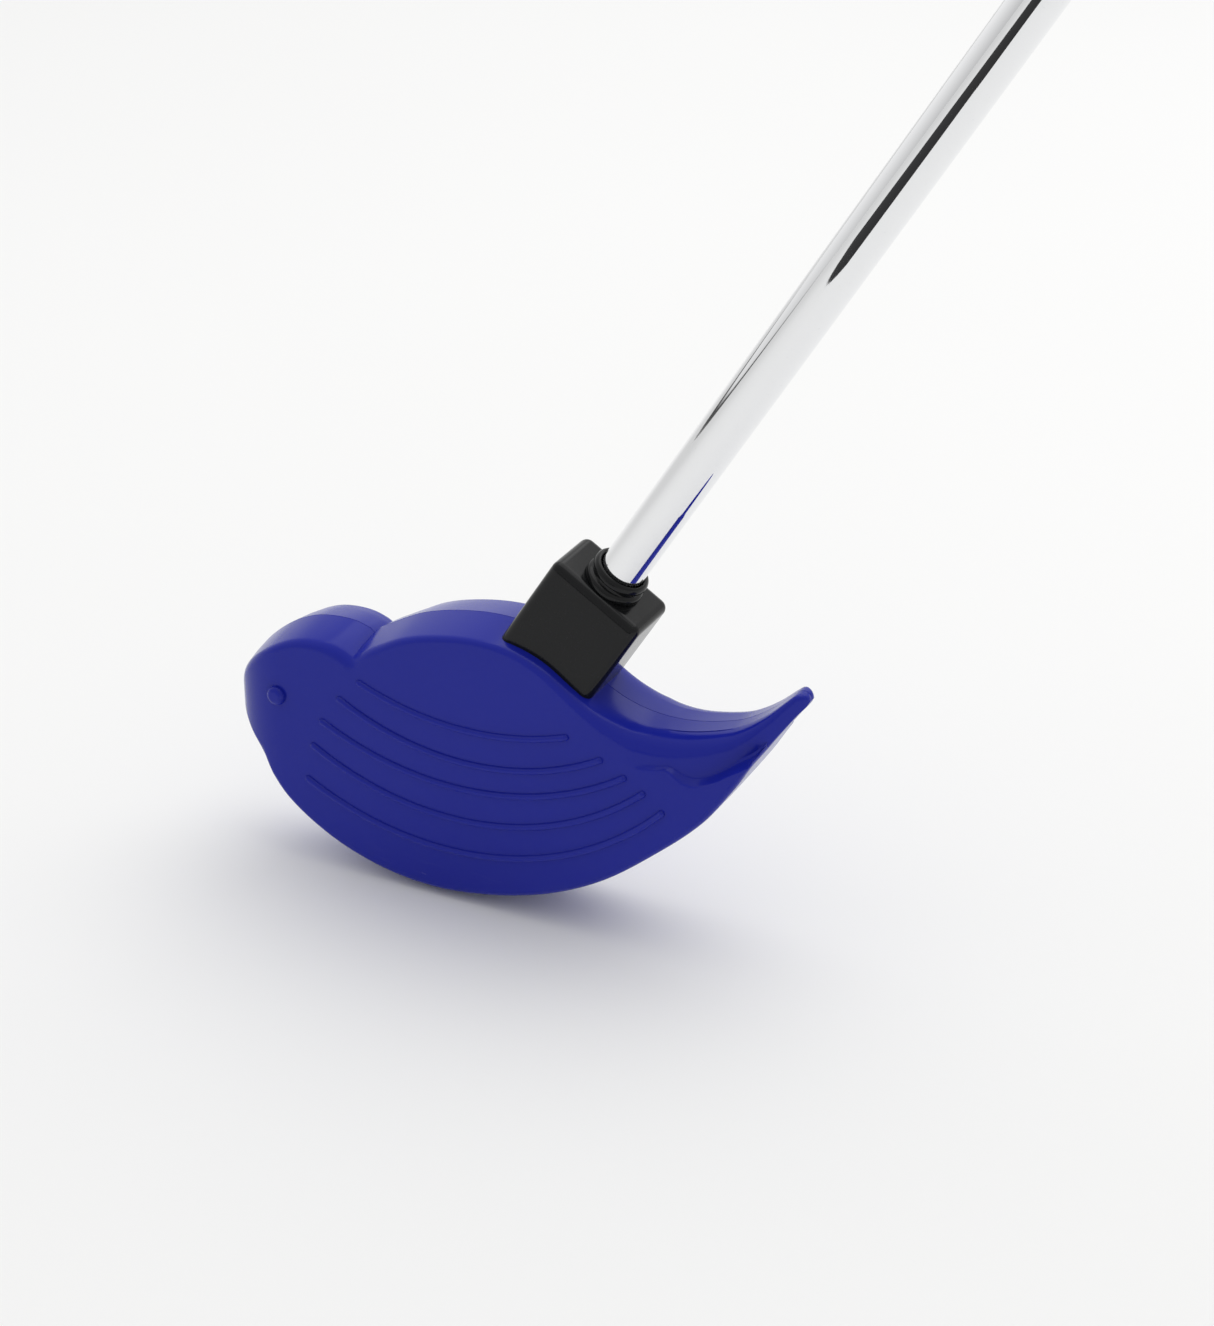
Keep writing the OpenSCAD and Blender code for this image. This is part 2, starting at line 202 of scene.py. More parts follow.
# %% Upper and lower edge
TOP_LINE = [(-88.5, -43.6), (-88.2, -41.2), (-87, -38.2), (-84.6, -34.6), (-81, -30.8), (-75.5, -26.7),
            (-70, -24.2), (-65, -23.4), (-61, -23.5), (-58, -24.4), (-56.4, -25.3), (-55.5, -24.7), (-54, -23.5),
            (-51.4, -21.9), (-43.8, -17.9), (-35, -15.4), (-26, -14.3), (-18.7, -14.9), (-11.8, -17.3),
            (-5, -21.7), (-1, -24.1), (3.4, -26), (8.2, -27.2), (14, -27.6), (20.3, -26.9), (28.2, -24.7),
            (32, -22.7), (36, -19.7), (39.4, -16.5), (41, -15), (41.8, -14.6), (42.8, -14.6), (43.6, -15.2),
            (43.9, -16)]
BOTTOM_LINE = [(-88.5, -43.8), (-88.2, -45.6), (-86.9, -47.5), (-85, -49.4), (-83.1, -51.2), (-81.3, -52.8),
               (-80, -54.4), (-79.1, -56.2), (-77.8, -58.6), (-73.6, -63.6), (-67, -68.5), (-59, -72.5),
               (-49, -75.4), (-38, -76.4), (-28.2, -75.5), (-18.5, -73.4), (-8.2, -69.8), (2.6, -63.9),
               (12.9, -55.8), (24.5, -44.9), (31.8, -34.8), (35.4, -28.8), (38.4, -24.2), (42, -19),
               (43.4, -17.2), (43.9, -16.2)]
RIM_LINE = [(-88.5, -43.7), (-60, -45), (0, -42), (6, -34), (10, -31.8), (14, -32.1), (17.5, -33.7), (20, -35.4),
            (23, -35.9), (27, -34.2), (31, -31.3), (35.8, -27.6), (43.9, -16.1)]
# The round on the upper edge, in mm, then shares of the full crown and of the full thickness, all along x
TOP_ROUND = [(-88.5, 1.5), (-76, 1.8), (-66, 2.4), (-58, 3.2), (-51, 2.2), (-38, 1.6), (-16, 1.6), (-5, 2.2),
             (3, 3.4), (10, 4.4), (20, 4.6), (29, 3.6), (37, 2), (43.9, 1)]
TOP_CROWN = [(-88.5, 1), (-16, 1), (4, 0.35), (43.9, 0.25)]
LOW_CROWN = [(-88.5, 1), (4, 1), (24, 0.1), (43.9, 0.1)]
TAIL_SHARE = [(9, 1), (11, 0.965), (14, 0.925), (18, 0.88), (22, 0.835), (26, 0.775), (30, 0.7), (33, 0.63),
              (36, 0.54), (38.5, 0.46), (40.5, 0.36), (42.2, 0.26), (43.3, 0.17), (43.9, 0.1)]
BEAK_X, TIP_X = TOP_LINE[0][0], TOP_LINE[-1][0]


def along(line, x):
    """Height of a smooth curve through the points, at x."""
    i = max(k for k in range(len(line) - 1) if k == 0 or line[k][0] <= x)

    def rise(k):
        a, b = line[max(k - 1, 0)], line[min(k + 1, len(line) - 1)]
        return (b[1] - a[1]) / (b[0] - a[0])

    (x0, z0), (x1, z1) = line[i], line[i + 1]
    w = x1 - x0
    t = (x - x0) / w
    return ((1 + 2 * t) * (1 - t) ** 2 * z0 + t * (1 - t) ** 2 * w * rise(i)
            + t * t * (3 - 2 * t) * z1 - t * t * (1 - t) * w * rise(i + 1))


def slant(line, x):
    """How much longer the curve is than its run in x, near x."""
    a, b = max(BEAK_X, x - 0.3), min(TIP_X, x + 0.3)
    return min(2.5, hypot(1, (along(line, b) - along(line, a)) / (b - a)))


print("head length, mm:", round(TIP_X - BEAK_X, 1))

# %% [markdown]
# ## The head's cross-section
# Half a section runs from the parting line on top, down a slightly drafted wall, round the edge to the flat face,
# over the step where the belly stands proud of the tail, and round the lower edge to the parting line below. The
# thickness is full in the middle, rounds off towards the beak, and draws in along the tail. The walls bulge a little
# towards the parting line, except on the tail. The parting edges have a hair of chamfer, so the joint between the
# two halves shows as a fine line.

# %% One section
HALF_T, EDGE_R, CROWN, CHAMFER = 10.5, 1.5, 1.4, 0.1
BEAK_FROM, BEAK_POWER, TAIL_FROM, RIM_END, END_T = -74, 2.2, 9, 35.6, 0.8
# Where the head is lower than this its crown fades out, and a steep edge's round is stretched no more than this
CROWN_FADE, MOST_STRETCH = 12, 1.4
ROUND_STEPS = 6
# The step from the tail down to the belly: height from the rim in mm, and share of the step at that height
STEP_SHAPE = [(1.7, 0), (1.0, 0.1), (0.45, 0.5), (0.1, 0.86), (-0.2, 0.975), (-0.6, 1)]


def shrink(u, power):
    return 1 if u <= 0 else sqrt(max(0, 1 - min(u, 1) ** power))


def half_t(x):
    beak = shrink((BEAK_FROM - x) / (BEAK_FROM - BEAK_X), BEAK_POWER)
    tail = 1 if x < TAIL_FROM else along(TAIL_SHARE, x)
    return max(END_T, HALF_T * min(beak, tail))


def section(x):
    top, low, rim = along(TOP_LINE, x), along(BOTTOM_LINE, x), along(RIM_LINE, x)
    high = top - low
    t = half_t(x)
    belly_t = t if x < TAIL_FROM or x > RIM_END + 0.5 else HALF_T
    fade = min(1, high / CROWN_FADE)
    edge = along(TOP_ROUND, x)
    r = min(edge, t / 2)
    top_r = min(edge * min(MOST_STRETCH, slant(TOP_LINE, x)), high / 3)
    rim = min(max(rim, low + 0.1 * high), top - 0.25 * high)
    low_r = min(EDGE_R * slant(BOTTOM_LINE, x), high / 3, 0.8 * (rim - low))
    up = CROWN * along(TOP_CROWN, x) * t / HALF_T * fade * slant(TOP_LINE, x)
    down = CROWN * along(LOW_CROWN, x) * belly_t / HALF_T * fade * slant(BOTTOM_LINE, x)
    turns = [pi / 2 * k / ROUND_STEPS for k in range(ROUND_STEPS + 1)]
    points = [(0, top + up - CHAMFER), (-CHAMFER, top + up), (-t / 2, top + up / 2)]
    points += [(-(t - r + r * sin(a)), top - top_r * (1 - cos(a))) for a in turns]
    room_up = max(0.05, (top - top_r - rim) / 2)
    room_down = max(0.05, rim - low - low_r)
    for rise, share in STEP_SHAPE:
        z = rim + (min(rise, rise / 1.7 * room_up) if rise > 0 else max(rise, rise / 0.6 * room_down))
        points.append((-(t + (belly_t - t) * share), z))
    r = min(EDGE_R, belly_t / 2)
    points += [(-(belly_t - r + r * sin(a)), low + low_r * (1 - cos(a))) for a in reversed(turns)]
    points += [(-belly_t / 2, low - down / 2), (-CHAMFER, low - down), (0, low - down + CHAMFER)]
    return points


print("points round a section:", len(section(0)))

# %% [markdown]
# ## Extruding the head from beak to tail
# The head could be cut from a plate, but its thickness changes all the way along. So it is drawn out like a ship's
# hull: a small ring at the beak is extruded from station to station, and at each one its points are laid on that
# station's section. Stations crowd together at both ends, where the surface turns quickest.

# %% Draw out the front half
END_STEPS, BEAK_ZONE, TIP_ZONE = 12, 6, 4


def stations():
    beak = [BEAK_X + BEAK_ZONE * (k / END_STEPS) ** 2 for k in range(END_STEPS)]
    tip = [TIP_X - TIP_ZONE * (k / END_STEPS) ** 2 for k in range(END_STEPS, -1, -1)]
    first, last = BEAK_X + BEAK_ZONE, TIP_X - TIP_ZONE
    count = round(last - first)
    middle = [first + (last - first) * k / count for k in range(count)]
    return beak + middle + tip


def draw_out(xs):
    rings = [[Vector((x, y, z)) * MM for y, z in section(x)] for x in xs]
    bpy.ops.object.select_all(action="DESELECT")
    bpy.ops.mesh.primitive_circle_add(vertices=len(rings[0]), radius=MM, fill_type="NGON")
    obj = bpy.context.object
    edit(obj)
    mesh = bmesh.from_edit_mesh(obj.data)
    places = {}
    for vertex, place in zip(mesh.verts, rings[0]):
        vertex.co = place
        places[vertex.index] = len(places)
    for ring in rings[1:]:
        bpy.ops.mesh.extrude_region_move(TRANSFORM_OT_translate={"value": (MM, 0, 0)})
        mesh = bmesh.from_edit_mesh(obj.data)
        mesh.verts.index_update()
        drawn = {}
        for vertex in [v for v in mesh.verts if v.select]:
            behind = next(e.other_vert(vertex) for e in vertex.link_edges if not e.other_vert(vertex).select)
            drawn[vertex.index] = places[behind.index]
            vertex.co = ring[drawn[vertex.index]]
        places = drawn
        bmesh.update_edit_mesh(obj.data)
    return finish_edit(obj)


xs = stations()
half_head = draw_out(xs)
print("stations:", len(xs), "faces:", len(half_head.data.polygons))

# %% [markdown]
# ## Feather ribs
# The wing is drawn on each face with five raised ribs. Each is an arc, so its rounded section is spun round the
# arc's centre, and a ball at each end rounds it off. The ribs are sunk into the face and joined to it.

# %% Spin one rib after another
FEATHERS = [((-54.2, -30.6), (-5.6, -31.6), 4.6), ((-59.3, -35.6), (2.2, -35.0), 8.2),
            ((-63.8, -42.0), (7.6, -37.8), 9.9), ((-66.3, -48.4), (11.9, -40.4), 12.9),
            ((-68.0, -56.9), (16.2, -43.8), 14.5)]
RIB_W, RIB_H, RIB_SINK, RIB_SPINS = 1.6, 0.75, 0.2, 56


def rib(a, b, sag):
    """A rib in mm, from its two ends and how far the arc sags between them."""
    a, b = Vector((a[0], 0, a[1])), Vector((b[0], 0, b[1]))
    half = (b - a).length / 2
    radius = (half * half + sag * sag) / (2 * sag)
    across = (b - a).normalized()
    centre = (a + b) / 2 + (radius - sag) * Vector((-across.z, 0, across.x))
    swing = 2 * asin(half / radius)
    spoke = (a - centre).normalized()
    face = Vector((0, -HALF_T + RIB_SINK, 0))
    bpy.ops.object.select_all(action="DESELECT")
    bpy.ops.mesh.primitive_circle_add(vertices=20, radius=1, fill_type="NGON")
    obj = bpy.context.object
    out, side = Vector((0, -1, 0)) * (RIB_H + RIB_SINK), spoke * RIB_W / 2
    obj.matrix_world = Matrix.Translation((a + face) * MM) @ Matrix(
        [[side.x * MM, out.x * MM, -spoke.z * MM, 0], [side.y * MM, out.y * MM, 0, 0],
         [side.z * MM, out.z * MM, spoke.x * MM, 0], [0, 0, 0, 1]])
    settle(obj)
    edit(obj)
    bpy.ops.mesh.spin(steps=RIB_SPINS, angle=swing, center=(centre + face) * MM, axis=(0, 1, 0))
    parts = [finish_edit(obj)]
    for end in (a, b):
        bpy.ops.object.select_all(action="DESELECT")
        bpy.ops.mesh.primitive_uv_sphere_add(segments=20, ring_count=10, radius=1, location=(end + face) * MM)
        ball = bpy.context.object
        ball.scale = (RIB_W / 2 * MM, (RIB_H + RIB_SINK) * MM, RIB_W / 2 * MM)
        parts.append(settle(ball))
    return gather(parts)


ribs = gather([rib(a, b, sag) for a, b, sag in FEATHERS])
combine(half_head, ribs, "UNION", overlaps=True)
print("faces with the ribs:", len(half_head.data.polygons))

# %% [markdown]
# ## The eye
# A round stud stands out of each cheek. A disc is extruded and its outer rim bevelled wide, which leaves a low
# button with a soft top. It is turned a little, to stand square to the cheek, which has begun to round off here.

# %% Extrude and bevel the eye stud
EYE_AT, EYE_D, EYE_H, EYE_ROUND = (-74.9, -38.3), 4.4, 1.38, 1.3


def eye_stud():
    x, z = EYE_AT
    bpy.ops.object.select_all(action="DESELECT")
    bpy.ops.mesh.primitive_circle_add(vertices=48, radius=EYE_D / 2 * MM, fill_type="NGON")
    obj = bpy.context.object
    edit(obj)
    bpy.ops.mesh.extrude_region_move(TRANSFORM_OT_translate={"value": (0, 0, (EYE_H + 2) * MM)})
    bpy.ops.mesh.bevel(offset=EYE_ROUND * MM, segments=6, profile=0.5, affect="EDGES")
    finish_edit(obj)
    turn = atan2(half_t(x + 1) - half_t(x - 1), 2)
    obj.rotation_euler = (pi / 2, 0, -turn)
    obj.location = Vector((x, -half_t(x) + 2, z)) * MM
    return settle(obj)


combine(half_head, eye_stud(), "UNION")

# %% [markdown]
# ## Hollowing the head
# Inside are a cavity with an even wall, a boss round the tip of the shaft, and pegs with sockets that line up the
# two halves. The block's foot sinks a little way into the back, so its shape is cut away there too.

# %% Cavity, boss and foot
WALL, CAVITY_GAP, CAVITY_FROM, CAVITY_PITCH, CAVITY_POINTS = 2.5, 3.5, -73, 3.56, 26
BLOCK_W, BLOCK_D, BLOCK_L, BLOCK_DRAFT, BLOCK_ROUND = 22.4, 15.2, 32, 0.5, 1.9
CAVITY_Y = HALF_T - WALL
FOOT_ARC = [(-24, -15.9), (-17, -16.2), (-11.8, -17.7), (-7, -20.6), (-2, -24.6), (1, -27.4)]
PEGS = [(-52, -60.5), (-12, -60.5), (-70, -40), (-44, -27.5), (8, -41)]
PEG_R, PEG_WALL, TIP_R, FIT = 2.2, 2, 4.7, 0.05
# The boss round the shaft's tip, along the shaft, and the two corners of the key's slot and of the bar's pocket
BOSS_FROM, BOSS_TO = -47, -17
KEY_SLOT = ((-8, -4.8, -27), (8, 4.8, -7))
BAR_POCKET = ((-64.3, -6.3, -65.3), (2.3, 6.3, -55.7))


def cavity():
    run = [CAVITY_FROM + CAVITY_PITCH * k for k in range(CAVITY_POINTS)]
    upper = [(x, along(TOP_LINE, x) - CAVITY_GAP * slant(TOP_LINE, x)) for x in run]
    lower = [(x, along(BOTTOM_LINE, x) + CAVITY_GAP * slant(BOTTOM_LINE, x)) for x in reversed(run)]
    return plate(upper + lower, -CAVITY_Y, 1)


def copied(obj, name):
    twin = obj.copy()
    twin.data = obj.data.copy()
    bpy.context.scene.collection.objects.link(twin)
    twin.name = name
    return twin


def across(radius, place, y0, y1):
    """A round bar that runs across the head."""
    x, z = place
    return turned_pin(radius, -y1, -y0, (x, 0, z), (pi / 2, 0, 0))


def under_foot():
    return plate(FOOT_ARC + [(1, -60), (-40, -60), (-40, -15.9)], -20, 20)


def drafted_box():
    """The block's body, a box that grows a little deeper towards its foot."""
    obj = boxed((-BLOCK_W / 2, -BLOCK_D / 2, -BLOCK_L), (BLOCK_W / 2, BLOCK_D / 2, 0))
    edit(obj)
    bpy.ops.mesh.select_all(action="DESELECT")
    mesh = bmesh.from_edit_mesh(obj.data)
    for vertex in mesh.verts:
        vertex.select_set(vertex.co.z < -MM)
    mesh.select_flush(True)
    share = 1 + 2 * BLOCK_DRAFT / BLOCK_D
    bpy.ops.transform.resize(value=(1, share, 1), center_override=(0, 0, -BLOCK_L * MM))
    return finish_edit(obj)


hollow = cavity()
combine(hollow, lean(turned_pin(CAVITY_Y, BOSS_FROM, BOSS_TO)), "DIFFERENCE")
for peg in PEGS:
    combine(hollow, across(PEG_R + PEG_WALL, peg, -HALF_T, 2), "DIFFERENCE")
combine(half_head, hollow, "DIFFERENCE")
block = drafted_box()
apply(block, "BEVEL", width=BLOCK_ROUND * MM, segments=6, limit_method="ANGLE")
combine(lean(block), under_foot(), "DIFFERENCE")
combine(half_head, copied(block, "foot"), "DIFFERENCE")
combine(half_head, lean(boxed(*KEY_SLOT)), "DIFFERENCE")
combine(half_head, lean(turned_pin(TIP_R + FIT, -44.2, 10)), "DIFFERENCE")
combine(half_head, boxed(*BAR_POCKET), "DIFFERENCE")
print("faces of one hollow half:", len(half_head.data.polygons))

# %% [markdown]
# ## Two halves from one
# The rear half is the front half mirrored, with its own mesh. A mirrored mesh is inside out until its faces are
# turned to point outwards again. The front half then gets its pegs, and the rear half the sockets for them.

# %% Mirror the half and add the pegs
head_front = half_head
head_front.name = "bird_head_front"
head_rear = copied(head_front, "bird_head_rear")
edit(head_rear)
bpy.ops.transform.mirror(constraint_axis=(False, True, False), center_override=(0, 0, 0))
finish_edit(head_rear)
for peg in PEGS:
    combine(head_rear, across(PEG_R + FIT, peg, -1, CAVITY_Y - 1.5), "DIFFERENCE")
    combine(head_front, across(PEG_R, peg, -CAVITY_Y - 0.5, CAVITY_Y - 2), "UNION")


def smooth(obj, angle=32):
    """Smooth shading up to an angle, with flat faces kept flat by weighting normals by area."""
    only(obj)
    bpy.ops.object.shade_smooth_by_angle(angle=radians(angle))
    apply(obj, "WEIGHTED_NORMAL", weight=80, keep_sharp=True)
    return obj


for half in (head_front, head_rear):
    smooth(half)
print("head halves:", [len(o.data.polygons) for o in (head_front, head_rear)])

# %% [markdown]
# ## The socket block
# A glossy moulded block carries the shaft. It is a little deeper at its foot than at its top, and it was rounded
# before its foot was cut to the curve of the bird's back, so the round runs right down to the head. It still needs
# the key that reaches into the head, and its bores.

# %% Key and bores of the block
SPIGOT_R, SPIGOT_L = 5.6, 4
KEY = ((-7.9, -4.7, -26.9), (7.9, 4.7, -14.9))
block.name = "socket_block_moulded"
combine(block, lean(boxed(*KEY)), "UNION")
combine(block, lean(turned_pin(TIP_R + FIT, -40, 10)), "DIFFERENCE")
combine(block, lean(turned_pin(SPIGOT_R, -SPIGOT_L, 1)), "DIFFERENCE")
smooth(block)
print("block faces:", len(block.data.polygons))

# %% [markdown]
# ## Ferrule
# The ringed collar is a turned part. Its outline is traced once, from the spigot in the block up over two rounded
# rings and in to the shaft, and spun round the shaft's axis.

# %% Turn the ferrule
RING_R, GROOVE_R, BORE_R = 6.3, 5.5, TIP_R + FIT
FERRULE = [(BORE_R, -3.9), (SPIGOT_R - 0.02, -3.9), (SPIGOT_R - 0.02, 0), (RING_R - 0.1, 0), (RING_R, 0.15),
           (RING_R + 0.03, 0.5), (RING_R + 0.03, 1.0), (RING_R - 0.05, 1.25), (RING_R - 0.25, 1.45),
           (GROOVE_R + 0.25, 1.6), (GROOVE_R + 0.05, 1.75), (GROOVE_R, 2.0), (GROOVE_R, 2.35),
           (GROOVE_R + 0.08, 2.55), (GROOVE_R + 0.3, 2.65), (6.0, 2.8), (6.08, 2.95), (6.1, 3.3), (6.06, 3.7),
           (5.95, 3.95), (5.75, 4.2), (5.5, 4.4), (5.3, 4.45), (5.1, 4.35), (4.85, 4.0), (BORE_R, 3.7)]
ferrule = lean(turned(FERRULE, 128))
ferrule.name = "ferrule_ringed"
smooth(ferrule, 40)

# %% [markdown]
# ## Shaft
# A steel club shaft is a tube drawn thinner in steps towards the tip. The steps start above the bare tip length.
# Spinning one long wall gives the even roundness that polished chrome needs.

# %% Turn the shaft
STEP_D, STEP_PITCH, STEP_COUNT, PARALLEL_L, STEP_LEN, BUTT_S, TIP_S = 0.44, 35, 12, 230, 1.2, 768, -44
SHAFT_WALL, STEP_ROUNDS, PIN_R, PIN_S = 0.8, 3, 2, -34


def shaft_r(k):
    return TIP_R + k * STEP_D / 2


def shaft_wall(start=TIP_S, grow=0.0):
    """Radius and height up the outside of the shaft, with each step eased in over a few points."""
    points = [(shaft_r(0) + grow, start)]
    for k in range(1, STEP_COUNT + 1):
        s = PARALLEL_L + (k - 1) * STEP_PITCH
        if s > start:
            for j in range(STEP_ROUNDS + 1):
                share = j / STEP_ROUNDS
                ease = share * share * (3 - 2 * share)
                points.append((shaft_r(k - 1 + ease) + grow, s + STEP_LEN * share))
        else:
            points[0] = (shaft_r(k) + grow, start)
    return points + [(shaft_r(STEP_COUNT) + grow, BUTT_S)]


outside = shaft_wall()
inside = [(r - SHAFT_WALL, s) for r, s in reversed(outside)]
shaft = lean(turned(outside + inside, 128))
shaft.name = "shaft_polished"
combine(shaft, lean(across(PIN_R, (0, PIN_S), -20, 20)), "DIFFERENCE")
smooth(shaft, 40)
print("shaft faces:", len(shaft.data.polygons))

# %% [markdown]
# ## Grip
# A putter grip is a tapered rubber sleeve with a flat down its front for the thumbs. It is turned with rings near
# its mouth and fine grooves further up, and then the flat is cut along it. The cap closes the end, with a vent.

# %% Turn the grip and its cap
GRIP_L, MOUTH_R, BUTT_R, THUMB_FLAT, VENT_R = 258, 9.75, 13.5, 1.6, 1.5
GRIP_S = BUTT_S - GRIP_L
TAPE_T = 0.2


def groove(r, s, half, depth):
    return [(r, s - half), (r - depth * 0.75, s - half * 0.45), (r - depth, s), (r - depth * 0.75, s + half * 0.45),
            (r, s + half)]


def grip_r(s):
    up = (s - GRIP_S - 24) / (GRIP_L - 24)
    return MOUTH_R + 0.3 + (BUTT_R - MOUTH_R - 0.3) * min(1, max(0, up)) ** 0.8


def grip_outside():
    points = [(MOUTH_R - 0.8, GRIP_S), (MOUTH_R - 0.35, GRIP_S + 0.8), (MOUTH_R, GRIP_S + 3)]
    for k in range(1, 6):
        points += groove(MOUTH_R + 0.05 * k, GRIP_S + 4 + 4 * k, 0.9, 0.6)
    s = GRIP_S + 34
    while s < BUTT_S - 30:
        points += groove(grip_r(s), s, 0.5, 0.28)
        s += 3.4
    return points + [(BUTT_R - 0.05, BUTT_S - 14), (BUTT_R, BUTT_S - 6), (BUTT_R, BUTT_S)]


tape_skin = [(r, max(s, GRIP_S + 4)) for r, s in shaft_wall(GRIP_S + 4, TAPE_T)]
mouth_bore = (tape_skin[0][0] - TAPE_T + 0.02, GRIP_S)
grip = turned(grip_outside() + list(reversed(tape_skin)) + [(mouth_bore[0], GRIP_S + 4), mouth_bore], 96)
thumb_y = -BUTT_R + THUMB_FLAT
combine(grip, boxed((-30, thumb_y - 30, GRIP_S + 60), (30, thumb_y, BUTT_S + 10)), "DIFFERENCE")
grip.name = "grip_rubber_sleeve"
smooth(lean(grip), 35)

PLUG_R = shaft_r(STEP_COUNT) - SHAFT_WALL - 0.02
CAP = [(VENT_R, BUTT_S - 14), (PLUG_R - 0.5, BUTT_S - 14), (PLUG_R, BUTT_S - 13), (PLUG_R, BUTT_S),
       (BUTT_R, BUTT_S + 0.01), (BUTT_R, BUTT_S + 3), (BUTT_R - 0.2, BUTT_S + 3.7), (BUTT_R - 0.7, BUTT_S + 4.4),
       (BUTT_R - 1.3, BUTT_S + 4.8), (BUTT_R - 2, BUTT_S + 5), (8, BUTT_S + 5), (7.6, BUTT_S + 4.6),
       (7.2, BUTT_S + 4.6), (6.8, BUTT_S + 5), (VENT_R + 0.3, BUTT_S + 5), (VENT_R, BUTT_S + 4.7)]
cap = turned(CAP, 96)
combine(cap, boxed((-30, thumb_y - 30, BUTT_S - 0.01), (30, thumb_y, BUTT_S + 10)), "DIFFERENCE")
cap.name = "grip_end_cap"
smooth(lean(cap), 35)
print("grip and cap faces:", len(grip.data.polygons), len(cap.data.polygons))

# %% [markdown]
# ## Writing shader maths
# A pattern is a chain of small nodes. This wrapper lets the chain be written as sums on sockets, so that
# `0.3 + 0.1 * noise` adds its own Math nodes. Colours go through Mix nodes, since a Math node would turn them grey.

# %% Sockets that can be added and multiplied
class Wire:
    def __init__(self, finish, socket):
        self.finish, self.socket = finish, socket

    def _math(self, operation, a, b):
        return self.finish.node("Math", {"operation": operation}, {0: a, 1: b})

    def __add__(self, other):
        return self._math("ADD", self, other)

    def __radd__(self, other):
        return self._math("ADD", other, self)

    def __sub__(self, other):
        return self._math("SUBTRACT", self, other)

    def __rsub__(self, other):
        return self._math("SUBTRACT", other, self)

    def __mul__(self, other):
        return self._math("MULTIPLY", self, other)

    def __rmul__(self, other):
        return self._math("MULTIPLY", other, self)


class Finish:
    """A material, with its shader's plain settings given by socket name."""

    def __init__(self, name, plain, tree=None):
        if tree is None:
            self.material = bpy.data.materials.new(name)
            self.material.use_nodes = True
            tree = self.material.node_tree
            self.shader = tree.nodes["Principled BSDF"]
            for socket, value in plain.items():
                self.shader.inputs[socket].default_value = value
        self.tree = tree

    def feed(self, socket, value):
        if isinstance(value, Wire):
            self.tree.links.new(value.socket, socket)
        else:
            socket.default_value = value

    def node(self, kind, settings=None, values=None, out=0):
        made = self.tree.nodes.new("ShaderNode" + kind)
        for key, value in (settings or {}).items():
            if key == "stops":
                while len(made.color_ramp.elements) < len(value):
                    made.color_ramp.elements.new(0.5)
                for element, (place, colour) in zip(made.color_ramp.elements, value):
                    element.position, element.color = place, colour
            else:
                setattr(made, key, value)
        for key, value in (values or {}).items():
            self.feed(made.inputs[key], value)
        return Wire(self, made.outputs[out])

    def place(self, stretch=(1, 1, 1), turn=(0, 0, 0)):
        spot = self.node("TexCoord", out="Object")
        return self.node("Mapping", values={"Vector": spot, "Scale": stretch, "Rotation": turn})

    def noise(self, scale, detail=2.0, place=None, rough=0.5):
        return self.node("TexNoise", values={"Vector": place or self.place(), "Scale": scale, "Detail": detail,
                                             "Roughness": rough})

    def ramp(self, wire, low, high):
        """0 below low, 1 above high, and a straight rise between them."""
        return self.node("MapRange", {"clamp": True}, {"Value": wire, "From Min": low, "From Max": high})

    def blend(self, share, a, b):
        return self.node("Mix", {"data_type": "RGBA"}, {0: share, 6: a, 7: b}, out=2)

    def set(self, socket, wire):
        self.feed(self.shader.inputs[socket], wire)

    def bump(self, height, depth, strength=1.0):
        made = self.node("Bump", values={"Height": height, "Distance": depth, "Strength": strength})
        self.set("Normal", made)


def paint(obj, finish):
    obj.data.materials.clear()
    obj.data.materials.append(finish.material)


# %% [markdown]
# ## Blue moulded plastic
# The head is coloured all through, with a soft sheen from a lightly blasted mould. Its colour barely changes, but
# the sheen does: slow clouds where the mould was polished more or less, a very fine grain, and faint scuffs low on
# the belly, where the club brushes the ground.

# %% Blue plastic
def rgb(red, green, blue):
    return (red, green, blue, 1)


def blue_plastic():
    made = Finish("blue_moulded_plastic", {"IOR": 1.46, "Specular IOR Level": 0.24})
    clouds = made.ramp(made.noise(38, 3), 0.3, 0.7)
    grain = made.noise(2600, 2)
    flow = made.noise(14, 4, made.place((1, 1, 2.2)))
    spot = made.node("SeparateXYZ", values={0: made.node("TexCoord", out="Object")}, out="Z")
    low = made.ramp(-1 * spot, 0.066, 0.0775)
    scuff = made.ramp(made.noise(900, 3, made.place((0.25, 1, 1))), 0.56, 0.72) * low
    colour = made.blend(0.35 * made.ramp(flow, 0.35, 0.7), rgb(0.0088, 0.0155, 0.290), rgb(0.0115, 0.0195, 0.325))
    colour = made.blend(0.15 * scuff, colour, rgb(0.07, 0.075, 0.30))
    made.set("Base Color", colour)
    made.set("Roughness", 0.15 + 0.05 * clouds + 0.05 * grain + 0.12 * scuff)
    made.bump(0.6 * grain + 0.3 * scuff, 0.00002, 0.5)
    return made


BLUE = blue_plastic()
for half, node in ((head_front, "head_front_shell"), (head_rear, "head_rear_shell")):
    paint(half, BLUE)
    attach(half, "root")
    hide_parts(node)
print("head painted")

# %% [markdown]
# ## Black moulded plastic
# The block and ferrule are a harder, glossier plastic. What shows is its reflections, so most of the work is in the
# roughness: a clean gloss, with a slight orange-peel waviness and a few hairline scratches.

